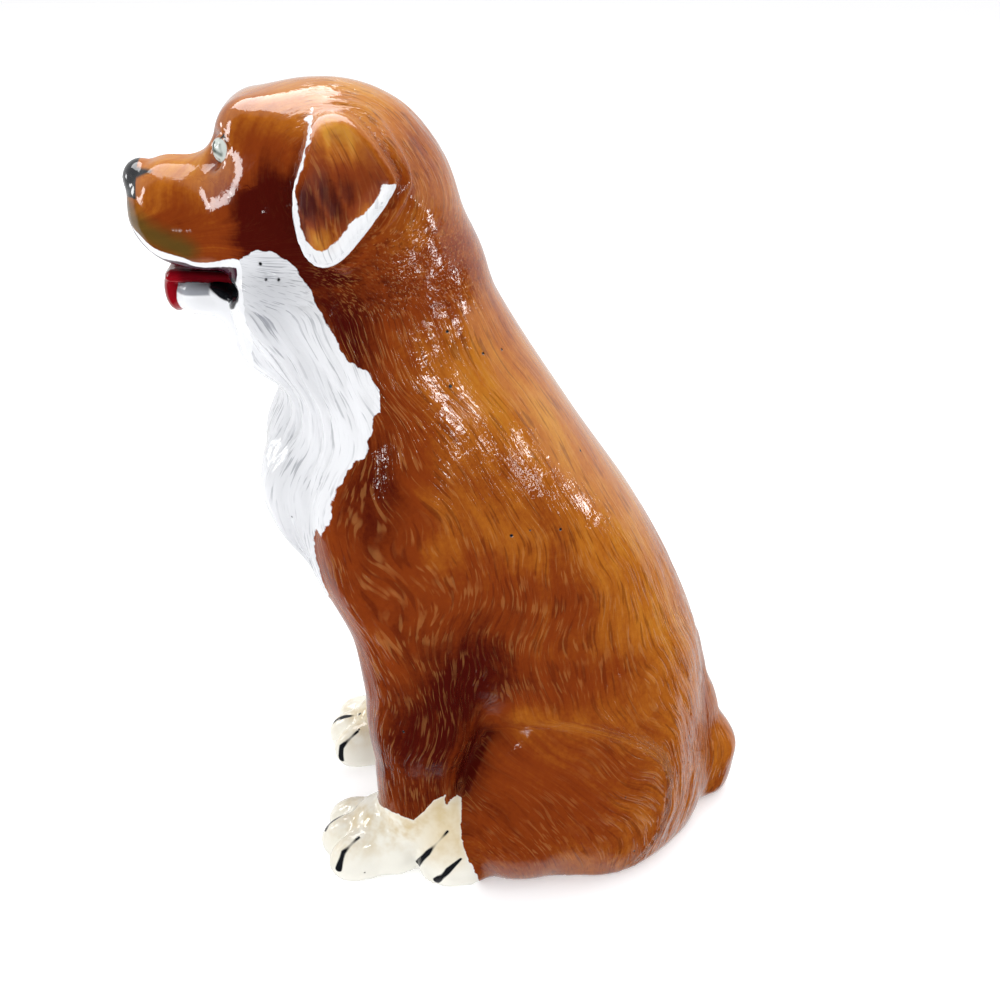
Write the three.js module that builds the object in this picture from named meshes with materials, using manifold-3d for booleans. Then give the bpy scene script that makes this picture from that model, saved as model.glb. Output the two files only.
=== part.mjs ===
// A seated puppy, cast as one piece with its paws, ears, tongue and tail.
// Millimetres, +Z up, nose toward -Y, its left side toward +X.
// Rounded forms are blended as distances, and the surface lies where the distance is nought.
import * as THREE from 'three';
import { mergeVertices } from 'three/addons/utils/BufferGeometryUtils.js';
import Module from 'manifold-3d';

const height = 200;
const baseDepth = 4; // the forms run on this far below the flat underside before it is cut

// Trunk and neck, each line as [height, size]
const trunk = {
  back: [[0, 61.5], [25, 64.8], [46, 63.3], [63, 59.4], [91, 46], [121, 26], [151, 7.5], [163, 3.3], [175, -2.5],
    [190, -9]],
  chest: [[0, -4], [30, -8.5], [50, -14], [77, -38], [91, -43.5], [115, -44], [130, -44], [140, -49], [151, -50],
    [166, -44], [188, -35]],
  halfWidth: [[0, 31.5], [38, 34], [77, 34.6], [104, 34], [121, 32], [140, 28], [166, 23.8], [188, 20]],
  squareness: 2.25, // power of the cross-section, where 2 is an ellipse
  lean: 0.92, // its walls lean, so they are nearer than a level measure says
  top: 184,
  topBlend: 10,
};

const foreleg = {
  wrist: [23, -15.2, 16],
  wristRadius: 11.4,
  elbow: [23, -13.8, 45],
  elbowRadius: 13.6,
  shoulder: [20, -15.5, 86],
  shoulderRadius: 17,
  blade: { centre: [19, -14, 100], radii: [15.5, 22, 26], tilt: -12 },
};

const forepaw = {
  pad: { centre: [23.2, -24, 6.5], radii: [10.6, 12, 12.5] },
  toeRadii: [4.6, 9.6, 8.2],
  toeHeight: 5.6,
  toes: [{ x: 17, y: -31.4, yaw: -12 }, { x: 23.4, y: -33, yaw: 0 }, { x: 30, y: -30.8, yaw: 14 }],
};

const hindpaw = {
  pad: { centre: [29, -5, 8], radii: [9.5, 12.5, 19.5], yaw: 15 },
  toeRadii: [4.3, 7.6, 7.6],
  toeHeight: 5.4,
  fanCentre: [27.6, -4],
  fanRadii: [5.2, 5.6],
  toeYaws: [-8, 26, 60],
};

const thigh = {
  ham: { centre: [27, 21.5, 25], radii: [13.2, 26.5, 30.5], tilt: -10 },
  knee: { centre: [27, 9, 13], radii: [12.6, 14.5, 17] },
  rumpFrom: [17, 33, 12],
  rumpTo: [8, 49, 10],
  rumpRadii: [13, 11],
  haunch: [10, 36], // from here back the thigh runs softly into the rump
};

// The tail drops from the rump and lies round the dog's right side: [x, y, z, radius]
const tail = [
  [-1, 58, 48, 5], [-0.5, 61.5, 30, 7], [0, 66.6, 14, 9], [-1.5, 66, 5, 9], [-13, 62, 6, 9],
  [-24, 54, 6, 8], [-32, 43, 5.5, 6.5], [-37, 31, 5, 4],
];

const ruff = {
  body: { centre: [0, -36, 109], radii: [18, 13.5, 22], tilt: 12 },
  lockRadii: [6.5, 8, 15],
  lockTilt: 16,
  locks: [[-11, -42, 104], [0, -43, 100], [11, -42, 104]],
};

const skull = {
  dome: { centre: [0, -31.2, 178.4], radii: [23, 26, 21.8] },
  brow: { centre: [0, -42.3, 185.4], half: [14.4, 11.6, 11.6], round: 7, tilt: -3 },
  cheek: { centre: [14, -42, 172], radii: [8.5, 12, 13] },
  jowl: { centre: [12.5, -43, 156], radii: [9.5, 10.5, 11.5] },
};

const muzzle = {
  block: { centre: [0, -60.5, 173], half: [12.2, 15, 10.4], round: 9.4, tilt: -3 },
  lip: { centre: [8.5, -58, 169.5], radii: [6.2, 11, 7.5] },
  nose: { centre: [0, -72.6, 179.2], radii: [5.2, 3.9, 4] },
};

const mouth = {
  gap: { centre: [0, -66, 158.6], half: [20, 15, 3], round: 2.2 },
  jaw: { centre: [0, -54.8, 151.9], half: [8.6, 11.4, 4], round: 3.4, tilt: -7 },
  chin: { centre: [0, -47, 143.5], radii: [12, 9, 9] },
  tongue: { centre: [0, -58.3, 157.4], half: [6.4, 10.8, 1.6], round: 1.5 },
  tongueTip: { centre: [0, -67.6, 154.4], radii: [5.4, 2.4, 5] },
};

const eye = {
  socket: { centre: [11.4, -55.5, 187.2], radii: [4.2, 4, 4.2] },
  ball: { centre: [10.6, -50.9, 187], radii: [3.6, 3.6, 3.8] },
};

// Ear flap: its outline on the side of the head as [y, z], and how far out it stands at each height
const ear = {
  outline: [[-33, 194.4], [-28, 195.6], [-23, 194.3], [-15.4, 184.3], [-15.2, 181.2], [-24.3, 170], [-28.5, 166.2],
    [-33, 165.6], [-36.5, 170.5], [-37.4, 181], [-34.6, 187.6]],
  face: [[164, 30], [172, 30], [182, 28.4], [189, 24], [196, 16.4]],
  flare: 0.1,
  flareFrom: -26,
  inside: 12,
  drawIn: 0.4,
  drawDepth: 10,
  round: 2.6,
  rim: 3.4,
  bowlDepth: 3.2,
  bowlSlope: 4,
  bowlTop: 186,
  bowlFade: 0.3,
};

// Widths of the blends between neighbouring forms
const blend = {
  leg: 4, blade: 10, toe: 1.6, shoulder: 7, ruff: 5, lock: 3, knee: 8, rump: 10, thigh: 2, haunch: 9, forepaw: 2.2,
  hindpaw: 1.6, tail: 5, brow: 5, cheek: 6, lip: 3, muzzle: 7, jowl: 4, chin: 6, jaw: 3, gap: 1.2, tongueTip: 1.5,
  tongue: 0.8, nose: 1.2, socket: 2, ball: 0.6, head: 8, bowl: 1.4, bowlEdge: 2, ear: 2,
};

// Grid lines along each axis: where a stretch ends and the spacing inside it
const grid = {
  x: { start: -44, stretches: [[-34, 5], [-15, 2.6], [15, 4.2], [34, 2.6], [44, 5]] },
  y: { start: -80, stretches: [[-14, 3], [81, 7]] },
  z: { start: -7, stretches: [[22, 3.8], [148, 8], [204, 2.8]] },
};

const relaxRounds = 3;

const radians = Math.PI / 180;

const dot = (a, b) => a[0] * b[0] + a[1] * b[1] + a[2] * b[2];
const minus = (a, b) => [a[0] - b[0], a[1] - b[1], a[2] - b[2]];
const { clamp, smoothstep } = THREE.MathUtils;

// Turned about the vertical by yaw, then about the cross axis by tilt, both in degrees
function local(p, { centre, yaw = 0, tilt = 0 }) {
  const [x, y, z] = minus(p, centre);
  const [cosYaw, sinYaw] = [Math.cos(yaw * radians), Math.sin(yaw * radians)];
  const [cosTilt, sinTilt] = [Math.cos(tilt * radians), Math.sin(tilt * radians)];
  const turned = cosYaw * y - sinYaw * x;
  return [cosYaw * x + sinYaw * y, cosTilt * turned + sinTilt * z, cosTilt * z - sinTilt * turned];
}

function blob(p, shape) {
  const q = local(p, shape);
  const [a, b, c] = shape.radii;
  const reach = Math.hypot(q[0] / a, q[1] / b, q[2] / c);
  const slope = Math.hypot(q[0] / a ** 2, q[1] / b ** 2, q[2] / c ** 2);
  return (reach * (reach - 1)) / Math.max(slope, 1e-9);
}

function block(p, shape) {
  const q = local(p, shape);
  const over = q.map((v, i) => Math.abs(v) - shape.half[i] + shape.round);
  const outside = Math.hypot(...over.map((v) => Math.max(v, 0)));
  return outside + Math.min(Math.max(...over), 0) - shape.round;
}

function limb(p, from, to, fromRadius, toRadius) {
  const line = minus(to, from);
  const offset = minus(p, from);
  const t = clamp(dot(offset, line) / dot(line, line), 0, 1);
  return Math.hypot(...offset.map((v, i) => v - t * line[i])) - fromRadius - t * (toRadius - fromRadius);
}

function fuse(a, b, width) {
  const overlap = Math.max(width - Math.abs(a - b), 0) / width;
  return Math.min(a, b) - (overlap * overlap * width) / 4;
}

const carve = (solid, cut, width) => -fuse(-solid, cut, width);

// Smooth curve through [place, value] points
function follow(line, place) {
  const t = clamp(place, line[0][0], line.at(-1)[0]);
  const end = line.findIndex(([stop], i) => i > 0 && stop >= t);
  const [from, to] = [line[end - 1], line[end]];
  const slope = (i) => {
    const before = line[Math.max(i - 1, 0)];
    const after = line[Math.min(i + 1, line.length - 1)];
    return (after[1] - before[1]) / (after[0] - before[0]);
  };
  const step = to[0] - from[0];
  const u = (t - from[0]) / step;
  const leaving = (1 + 2 * u) * (1 - u) ** 2 * from[1] + u * (1 - u) ** 2 * step * slope(end - 1);
  const arriving = u * u * (3 - 2 * u) * to[1] + u * u * (u - 1) * step * slope(end);
  return leaving + arriving;
}

function outlineDistance(y, z, points) {
  let nearest = Infinity;
  let side = 1;
  points.forEach((a, i) => {
    const b = points.at(i - 1);
    const edge = [b[0] - a[0], b[1] - a[1]];
    const to = [y - a[0], z - a[1]];
    const t = clamp((to[0] * edge[0] + to[1] * edge[1]) / (edge[0] ** 2 + edge[1] ** 2), 0, 1);
    nearest = Math.min(nearest, Math.hypot(to[0] - edge[0] * t, to[1] - edge[1] * t));
    const crossings = [z >= a[1], z < b[1], edge[0] * to[1] > edge[1] * to[0]];
    if (crossings.every(Boolean) || !crossings.some(Boolean)) side = -side;
  });
  return side * nearest;
}

function trunkForm(p) {
  const front = follow(trunk.chest, p[2]);
  const rear = follow(trunk.back, p[2]);
  const wide = follow(trunk.halfWidth, p[2]);
  const long = (rear - front) / 2;
  const power = trunk.squareness;
  const across = (Math.abs(p[0]) / wide) ** power + (Math.abs(p[1] - front - long) / long) ** power;
  const side = (across ** (1 / power) - 1) * Math.min(wide, long) * trunk.lean;
  return carve(side, trunk.top - p[2], trunk.topBlend);
}

function forelegForm(q) {
  const lower = limb(q, foreleg.wrist, foreleg.elbow, foreleg.wristRadius, foreleg.elbowRadius);
  const upper = limb(q, foreleg.elbow, foreleg.shoulder, foreleg.elbowRadius, foreleg.shoulderRadius);
  return fuse(fuse(lower, upper, blend.leg), blob(q, foreleg.blade), blend.blade);
}

function forepawForm(q) {
  let paw = blob(q, forepaw.pad);
  for (const { x, y, yaw } of forepaw.toes) {
    paw = fuse(paw, blob(q, { centre: [x, y, forepaw.toeHeight], radii: forepaw.toeRadii, yaw }), blend.toe);
  }
  return paw;
}

function hindpawForm(q) {
  let paw = blob(q, hindpaw.pad);
  for (const yaw of hindpaw.toeYaws) {
    const x = hindpaw.fanCentre[0] + hindpaw.fanRadii[0] * Math.sin(yaw * radians);
    const y = hindpaw.fanCentre[1] - hindpaw.fanRadii[1] * Math.cos(yaw * radians);
    paw = fuse(paw, blob(q, { centre: [x, y, hindpaw.toeHeight], radii: hindpaw.toeRadii, yaw }), blend.toe);
  }
  return paw;
}

function thighForm(q) {
  const leg = fuse(blob(q, thigh.ham), blob(q, thigh.knee), blend.knee);
  return fuse(leg, limb(q, thigh.rumpFrom, thigh.rumpTo, ...thigh.rumpRadii), blend.rump);
}

function tailForm(p) {
  let form = Infinity;
  for (let i = 1; i < tail.length; i += 1) {
    const [from, to] = [tail[i - 1], tail[i]];
    const piece = limb(p, from.slice(0, 3), to.slice(0, 3), from[3], to[3]);
    form = i === 1 ? piece : fuse(form, piece, blend.tail);
  }
  return form;
}

function ruffForm(p) {
  let form = blob(p, ruff.body);
  for (const centre of ruff.locks) {
    form = fuse(form, blob(p, { centre, radii: ruff.lockRadii, tilt: ruff.lockTilt }), blend.lock);
  }
  return form;
}

function headForm(p, q) {
  let form = fuse(blob(p, skull.dome), block(p, skull.brow), blend.brow);
  form = fuse(form, blob(q, skull.cheek), blend.cheek);
  const snout = fuse(block(p, muzzle.block), blob(q, muzzle.lip), blend.lip);
  form = fuse(form, snout, blend.muzzle);
  form = fuse(form, blob(q, skull.jowl), blend.jowl);
  const jaw = fuse(block(p, mouth.jaw), blob(p, mouth.chin), blend.chin);
  form = fuse(form, jaw, blend.jaw);
  form = carve(form, block(p, mouth.gap), blend.gap);
  const tongue = fuse(block(p, mouth.tongue), blob(p, mouth.tongueTip), blend.tongueTip);
  form = fuse(form, tongue, blend.tongue);
  form = fuse(form, blob(p, muzzle.nose), blend.nose);
  form = carve(form, blob(q, eye.socket), blend.socket);
  return fuse(form, blob(q, eye.ball), blend.ball);
}

function earForm([x, y, z]) {
  const outline = outlineDistance(y, z, ear.outline);
  const face = follow(ear.face, z) + ear.flare * (ear.flareFrom - y);
  const side = outline + ear.drawIn * clamp(face - x, 0, ear.drawDepth) + ear.round;
  const front = x - face + ear.round;
  let form = Math.hypot(Math.max(side, 0), Math.max(front, 0)) + Math.min(Math.max(side, front), 0) - ear.round;
  form = Math.max(form, ear.inside - x);
  const bowl = outline + ear.rim + Math.max(z - ear.bowlTop, 0) * ear.bowlFade;
  const depth = ear.bowlDepth * clamp(-bowl / ear.bowlSlope, 0, 1);
  return carve(form, -fuse(-bowl, x - face + depth, blend.bowlEdge), blend.bowl);
}

function puppy(p) {
  const q = [Math.abs(p[0]), p[1], p[2]];
  let body = fuse(trunkForm(p), forelegForm(q), blend.shoulder);
  body = fuse(body, ruffForm(p), blend.ruff);
  body = fuse(body, thighForm(q), blend.thigh + blend.haunch * smoothstep(q[1], ...thigh.haunch));
  body = fuse(body, forepawForm(q), blend.forepaw);
  body = fuse(body, hindpawForm(q), blend.hindpaw);
  body = fuse(body, tailForm(p), blend.tail);
  body = fuse(body, headForm(p, q), blend.head);
  body = fuse(body, earForm(q), blend.ear);
  return Math.max(body, -baseDepth - p[2]);
}

function gridLines({ start, stretches }) {
  const lines = [start];
  for (const [end, spacing] of stretches) {
    const from = lines.at(-1);
    const count = Math.round((end - from) / spacing);
    for (let i = 1; i <= count; i += 1) lines.push(from + ((end - from) * i) / count);
  }
  return lines;
}

// A cell's twelve edges as pairs of its corners, where a corner's bits are its x, y and z step
const cellEdges = [];
for (const axis of [0, 1, 2]) {
  for (let corner = 0; corner < 8; corner += 1) {
    if (!(corner & (1 << axis))) cellEdges.push([corner, corner | (1 << axis), axis]);
  }
}

// Crossed edges of a cell in groups, one for each sheet of the surface that passes through it
function sheets(inside) {
  const group = cellEdges.map((_, i) => i);
  const root = (i) => (group[i] === i ? i : root(group[i]));
  const crossed = cellEdges.map(([a, b]) => inside[a] !== inside[b]);
  for (const axis of [0, 1, 2]) {
    for (const side of [0, 1]) {
      const onFace = (corner) => ((corner >> axis) & 1) === side;
      const found = cellEdges.map((_, i) => i).filter((i) => crossed[i] && cellEdges[i].slice(0, 2).every(onFace));
      const joined = (i, j) => found.length === 2
        || cellEdges[i].slice(0, 2).some((corner) => inside[corner] && cellEdges[j].slice(0, 2).includes(corner));
      for (const i of found) {
        for (const j of found) if (i < j && joined(i, j)) group[root(i)] = root(j);
      }
    }
  }
  return cellEdges.map((_, i) => (crossed[i] ? root(i) : -1));
}

// One vertex for each sheet in each cell, and one four-sided face round each crossed grid edge
function surfaceMesh(field, axes) {
  const size = axes.map((lines) => lines.length);
  const at = (i, j, k) => (i * size[1] + j) * size[2] + k;
  const value = new Float64Array(size[0] * size[1] * size[2]);
  axes[0].forEach((x, i) => axes[1].forEach((y, j) => axes[2].forEach((z, k) => {
    value[at(i, j, k)] = field([x, y, z]);
  })));
  const vertices = [];
  const faces = new Map();
  for (let i = 0; i < size[0] - 1; i += 1) {
    for (let j = 0; j < size[1] - 1; j += 1) {
      for (let k = 0; k < size[2] - 1; k += 1) {
        const places = [...Array(8).keys()].map((c) => [i + (c & 1), j + ((c >> 1) & 1), k + (c >> 2)]);
        const values = places.map((place) => value[at(...place)]);
        const inside = values.map((v) => v < 0);
        if (inside.every(Boolean) || !inside.some(Boolean)) continue;
        const points = {};
        sheets(inside).forEach((sheet, e) => {
          if (sheet < 0) return;
          const [a, b, axis] = cellEdges[e];
          const t = values[a] / (values[a] - values[b]);
          const [from, to] = [places[a], places[b]];
          const point = axes.map((lines, n) => THREE.MathUtils.lerp(lines[from[n]], lines[to[n]], t));
          points[sheet] ??= { sum: [0, 0, 0], count: 0, index: vertices.push(null) - 1 };
          points[sheet].sum = points[sheet].sum.map((v, n) => v + point[n]);
          points[sheet].count += 1;
          const key = at(...from) * 3 + axis;
          if (!faces.has(key)) faces.set(key, { inward: inside[a], corners: [] });
          const turn = ((a >> ((axis + 1) % 3)) & 1) + 2 * ((a >> ((axis + 2) % 3)) & 1);
          faces.get(key).corners[turn] = points[sheet].index;
        });
        for (const { sum, count, index } of Object.values(points)) vertices[index] = sum.map((v) => v / count);
      }
    }
  }
  return { vertices, faces: [...faces.values()] };
}

// Moves a point along the field's slope onto the surface
function settle(field, point) {
  const step = 0.05;
  let p = point;
  for (let round = 0; round < 3; round += 1) {
    const slope = [0, 1, 2].map((axis) => {
      const ahead = p.map((v, n) => v + (n === axis ? step : 0));
      const behind = p.map((v, n) => v - (n === axis ? step : 0));
      return (field(ahead) - field(behind)) / (2 * step);
    });
    const move = clamp(field(p) / Math.max(dot(slope, slope), 0.05), -1, 1);
    p = p.map((v, n) => v - move * slope[n]);
  }
  return p;
}

// Evens the mesh out: each vertex moves toward the middle of its neighbours and back onto the surface
function relax(field, { vertices, faces }) {
  const neighbours = vertices.map(() => new Set());
  for (const { corners: [a, b, c, d] } of faces) {
    for (const [from, to] of [[a, b], [b, d], [d, c], [c, a]]) {
      neighbours[from].add(to);
      neighbours[to].add(from);
    }
  }
  const middle = (point, i) => point.map((v, n) => {
    const sum = [...neighbours[i]].reduce((total, k) => total + vertices[k][n], 0);
    return (v + sum / neighbours[i].size) / 2;
  });
  return vertices.map((point, i) => settle(field, middle(point, i)));
}

// Each four-sided face becomes two triangles along its shorter diagonal
function triangles({ vertices, faces }) {
  const list = [];
  const span = (a, b) => Math.hypot(...minus(vertices[a], vertices[b]));
  for (const { inward, corners } of faces) {
    const [a, b, c, d] = inward
      ? [corners[3], corners[2], corners[0], corners[1]]
      : [corners[1], corners[0], corners[2], corners[3]];
    if (span(a, c) < span(b, d)) list.push(a, b, c, a, c, d);
    else list.push(a, b, d, b, c, d);
  }
  return list;
}

const wasm = await Module();
wasm.setup();

function solidOf(geometry) {
  geometry.deleteAttribute('normal');
  geometry.deleteAttribute('uv');
  const merged = mergeVertices(geometry, 1e-4);
  const vertProperties = new Float32Array(merged.attributes.position.array);
  const triVerts = new Uint32Array(merged.index.array);
  return new wasm.Manifold(new wasm.Mesh({ numProp: 3, vertProperties, triVerts }));
}

function geometryOf(solid) {
  const mesh = solid.getMesh();
  const geometry = new THREE.BufferGeometry();
  geometry.setAttribute('position', new THREE.BufferAttribute(mesh.vertProperties, 3));
  geometry.setIndex(new THREE.BufferAttribute(mesh.triVerts, 1));
  return geometry;
}

// The flat underside is cut at height nought, and the dog is centred over it at its full height
function puppyGeometry() {
  const mesh = surfaceMesh(puppy, [grid.x, grid.y, grid.z].map(gridLines));
  for (let round = 0; round < relaxRounds; round += 1) mesh.vertices = relax(puppy, mesh);
  const geometry = new THREE.BufferGeometry();
  geometry.setAttribute('position', new THREE.Float32BufferAttribute(mesh.vertices.flat(), 3));
  geometry.setIndex(triangles(mesh));
  const ground = new THREE.BoxGeometry(height, height, height).translate(0, 0, -height / 2);
  const cut = geometryOf(solidOf(geometry).subtract(solidOf(ground)));
  cut.computeBoundingBox();
  const { min, max } = cut.boundingBox;
  cut.translate(-(min.x + max.x) / 2, -(min.y + max.y) / 2, 0);
  const scale = height / max.z;
  return cut.scale(scale, scale, scale);
}

const glazedCeramic = new THREE.MeshStandardMaterial({ color: 0xb5651d, roughness: 0.25, metalness: 0 });

const figurine = new THREE.Mesh(puppyGeometry(), glazedCeramic);
figurine.name = 'puppy_figurine';

const group = new THREE.Group();
group.add(figurine);

export default group;
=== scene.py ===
from math import cos, radians, sin

import bpy
import numpy as np
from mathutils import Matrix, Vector


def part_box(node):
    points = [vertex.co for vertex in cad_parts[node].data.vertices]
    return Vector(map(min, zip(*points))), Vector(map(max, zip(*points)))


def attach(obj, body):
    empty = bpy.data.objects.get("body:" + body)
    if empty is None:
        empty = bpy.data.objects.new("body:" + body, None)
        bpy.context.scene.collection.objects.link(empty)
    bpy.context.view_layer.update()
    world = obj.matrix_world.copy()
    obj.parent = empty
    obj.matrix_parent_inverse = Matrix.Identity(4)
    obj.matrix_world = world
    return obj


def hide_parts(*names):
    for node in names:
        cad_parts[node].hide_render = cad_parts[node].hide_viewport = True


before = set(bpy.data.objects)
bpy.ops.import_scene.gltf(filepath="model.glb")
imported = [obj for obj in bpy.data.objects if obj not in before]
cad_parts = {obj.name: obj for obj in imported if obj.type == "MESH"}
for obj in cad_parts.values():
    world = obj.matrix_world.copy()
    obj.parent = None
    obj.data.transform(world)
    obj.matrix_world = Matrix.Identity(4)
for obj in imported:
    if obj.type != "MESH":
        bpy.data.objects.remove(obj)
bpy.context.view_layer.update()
bodyNode = "puppy_figurine"

# All sizes of the dog are in mm, nose toward -Y, its left side toward +X, and become metres in the mesh

camera = {
    "place": (276.5, -14.2, 235.0),
    "azimuth": 85.5,  # 0 looks along +Y, 90 along -X
    "down": 26.7,
    "lens": 43.2,
    "sensor": 36.0,
}


def addCamera():
    data = bpy.data.cameras.new("camera")
    data.lens = camera["lens"]
    data.sensor_width = camera["sensor"]
    data.clip_start = 0.01
    view = bpy.data.objects.new("camera", data)
    bpy.context.collection.objects.link(view)
    turn, dip = radians(camera["azimuth"]), radians(camera["down"])
    ahead = Vector((-sin(turn) * cos(dip), cos(turn) * cos(dip), -sin(dip)))
    view.location = Vector(camera["place"]) / 1000
    view.rotation_euler = ahead.to_track_quat("-Z", "Y").to_euler()
    bpy.context.scene.camera = view


# Shape of the dog: rounded forms blended as distances

trunk = {
    "back": [(0, 61.5), (25, 64.8), (46, 63.3), (63, 59.4), (91, 46), (121, 26), (151, 7.5), (163, 3.3),
             (175, -2.5), (190, -9)],
    "chest": [(0, -4), (30, -8.5), (50, -14), (77, -38), (91, -43.5), (115, -44), (130, -44), (140, -49),
              (151, -50), (166, -44), (188, -35)],
    "halfWidth": [(0, 31.5), (38, 34), (77, 34.6), (104, 34), (121, 32), (140, 28), (166, 23.8), (188, 20)],
    "squareness": 2.25,
    "lean": 0.92,
    "top": 184,
    "topBlend": 10,
}

foreleg = {
    "wrist": (23, -15.2, 16), "wristRadius": 11.4,
    "elbow": (23, -13.8, 45), "elbowRadius": 13.6,
    "shoulder": (20, -15.5, 86), "shoulderRadius": 17,
    "blade": {"centre": (19, -14, 100), "radii": (15.5, 22, 26), "tilt": -12},
}

forepaw = {
    "pad": {"centre": (23.2, -24, 6.5), "radii": (10.6, 12, 12.5)},
    "toeRadii": (4.6, 9.6, 8.2), "toeHeight": 5.6,
    "toes": [(17, -31.4, -12), (23.4, -33, 0), (30, -30.8, 14)],  # x, y, yaw
}

hindpaw = {
    "pad": {"centre": (29, -5, 8), "radii": (9.5, 12.5, 19.5), "yaw": 15},
    "toeRadii": (4.3, 7.6, 7.6), "toeHeight": 5.4,
    "fanCentre": (27.6, -4), "fanRadii": (5.2, 5.6), "toeYaws": (-8, 26, 60),
}

thigh = {
    "ham": {"centre": (27, 21.5, 25), "radii": (13.2, 26.5, 30.5), "tilt": -10},
    "knee": {"centre": (27, 9, 13), "radii": (12.6, 14.5, 17)},
    "rumpFrom": (17, 33, 12), "rumpTo": (8, 49, 10), "rumpRadii": (13, 11),
    "haunch": (10, 36),  # from here back the thigh runs softly into the rump
}

tail = [  # x, y, z, radius
    (-1, 58, 48, 5), (-0.5, 61.5, 30, 7), (0, 66.6, 14, 9), (-1.5, 66, 5, 9), (-13, 62, 6, 9),
    (-24, 54, 6, 8), (-32, 43, 5.5, 6.5), (-37, 31, 5, 4),
]

ruff = {
    "body": {"centre": (0, -36, 109), "radii": (18, 13.5, 22), "tilt": 12},
    "lockRadii": (6.5, 8, 15), "lockTilt": 16,
    "locks": [(-11, -42, 104), (0, -43, 100), (11, -42, 104)],
}

skull = {
    "dome": {"centre": (0, -31.2, 178.4), "radii": (23, 26, 21.8)},
    "brow": {"centre": (0, -42.3, 185.4), "half": (14.4, 11.6, 11.6), "round": 7.0, "tilt": -3},
    "cheek": {"centre": (14, -42, 172), "radii": (8.5, 12, 13)},
    "jowl": {"centre": (12.5, -43, 156), "radii": (9.5, 10.5, 11.5)},
}

muzzle = {
    "block": {"centre": (0, -60.5, 173), "half": (12.2, 15, 10.4), "round": 9.4, "tilt": -3},
    "lip": {"centre": (8.5, -58, 168.3), "radii": (6.2, 11, 7.6)},
    "nose": {"centre": (0, -72.3, 179.1), "radii": (6, 4, 4.4)},
    "nostril": {"centre": (2.6, -76.4, 178.4), "radii": (1.1, 1.4, 1.1)},
}

mouth = {
    "gap": {"centre": (0, -64, 159.1), "half": (20, 13.6, 1.9), "round": 1.8, "tilt": -8},
    "corner": {"centre": (9.5, -53.4, 156.4), "radii": (6, 2.8, 2.9)},
    "jaw": {"centre": (0, -54.8, 152.4), "half": (8.6, 11.4, 4.4), "round": 3.6, "tilt": -7},
    "chin": {"centre": (0, -47, 143.5), "radii": (12, 9, 9)},
    "tongue": {"centre": (0, -58, 158.0), "half": (7.2, 10.4, 1.1), "round": 1.0, "tilt": -4},
    "tongueTip": {"centre": (0, -67.2, 154.3), "radii": (5.6, 2.4, 5)},
}

eye = {
    "socket": {"centre": (11.4, -55.5, 187.2), "radii": (4.2, 4, 4.2)},
    "ball": {"centre": (10.6, -50.9, 187), "radii": (3.6, 3.6, 3.8)},
}

ear = {
    "outline": [(-33, 194.4), (-28, 195.6), (-23, 194.3), (-15.4, 184.3), (-15.2, 181.2), (-24.3, 170),
                (-28.5, 166.2), (-33, 165.6), (-36.5, 170.5), (-37.4, 181), (-34.6, 187.6)],
    "face": [(164, 30), (172, 30), (182, 28.4), (189, 24), (196, 16.4)],
    "flare": 0.1, "flareFrom": -26, "inside": 12, "drawIn": 0.4, "drawDepth": 10, "round": 2.0,
    "rim": 2.6, "bowlDepth": 4.2, "bowlSlope": 4.5, "bowlTop": 189, "bowlFade": 0.3,
    "grow": 0.5, "foldPitch": 4.6, "foldHeight": 0.9,
    "fringe": 5.0, "fringeDrop": 4.2,
}

blend = {
    "leg": 4, "blade": 10, "toe": 1.2, "shoulder": 7, "ruff": 5, "lock": 3, "knee": 8, "rump": 10,
    "thigh": 2, "haunch": 15, "forepaw": 2.2, "hindpaw": 1.6, "tail": 5, "brow": 5, "cheek": 6, "lip": 7,
    "muzzle": 7, "jowl": 4, "chin": 6, "jaw": 3, "gap": 1.2, "tongueTip": 1.5, "tongue": 0.8, "nose": 1.2,
    "nostril": 0.5, "socket": 2, "ball": 0.4, "head": 8, "bowl": 1.0, "bowlEdge": 1.4, "fringe": 2.5,
    "ear": 1.6,
}


def local(p, shape):
    q = p - np.array(shape["centre"], float)
    turn, lean = radians(shape.get("yaw", 0)), radians(shape.get("tilt", 0))
    x = cos(turn) * q[:, 0] + sin(turn) * q[:, 1]
    y = cos(turn) * q[:, 1] - sin(turn) * q[:, 0]
    return np.stack([x, cos(lean) * y + sin(lean) * q[:, 2], cos(lean) * q[:, 2] - sin(lean) * y], -1)


def norm(v):
    return np.sqrt((v * v).sum(-1))


def blob(p, shape):
    q, radii = local(p, shape), np.array(shape["radii"], float)
    reach = norm(q / radii)
    return reach * (reach - 1) / np.maximum(norm(q / radii ** 2), 1e-9)


def block(p, shape):
    over = np.abs(local(p, shape)) - np.array(shape["half"], float) + shape["round"]
    return norm(np.maximum(over, 0)) + np.minimum(over.max(-1), 0) - shape["round"]


def limb(p, start, end, startRadius, endRadius):
    start, line = np.array(start, float), np.subtract(end, start)
    t = np.clip((p - start) @ line / (line @ line), 0, 1)
    return norm(p - start - t[:, None] * line) - startRadius - t * (endRadius - startRadius)


def fuse(a, b, width):
    overlap = np.maximum(width - np.abs(a - b), 0) / width
    return np.minimum(a, b) - overlap * overlap * width / 4


def carve(solid, cut, width):
    return -fuse(-solid, cut, width)


def smooth(value, low, high):
    t = np.clip((value - low) / (high - low), 0, 1)
    return t * t * (3 - 2 * t)


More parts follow.
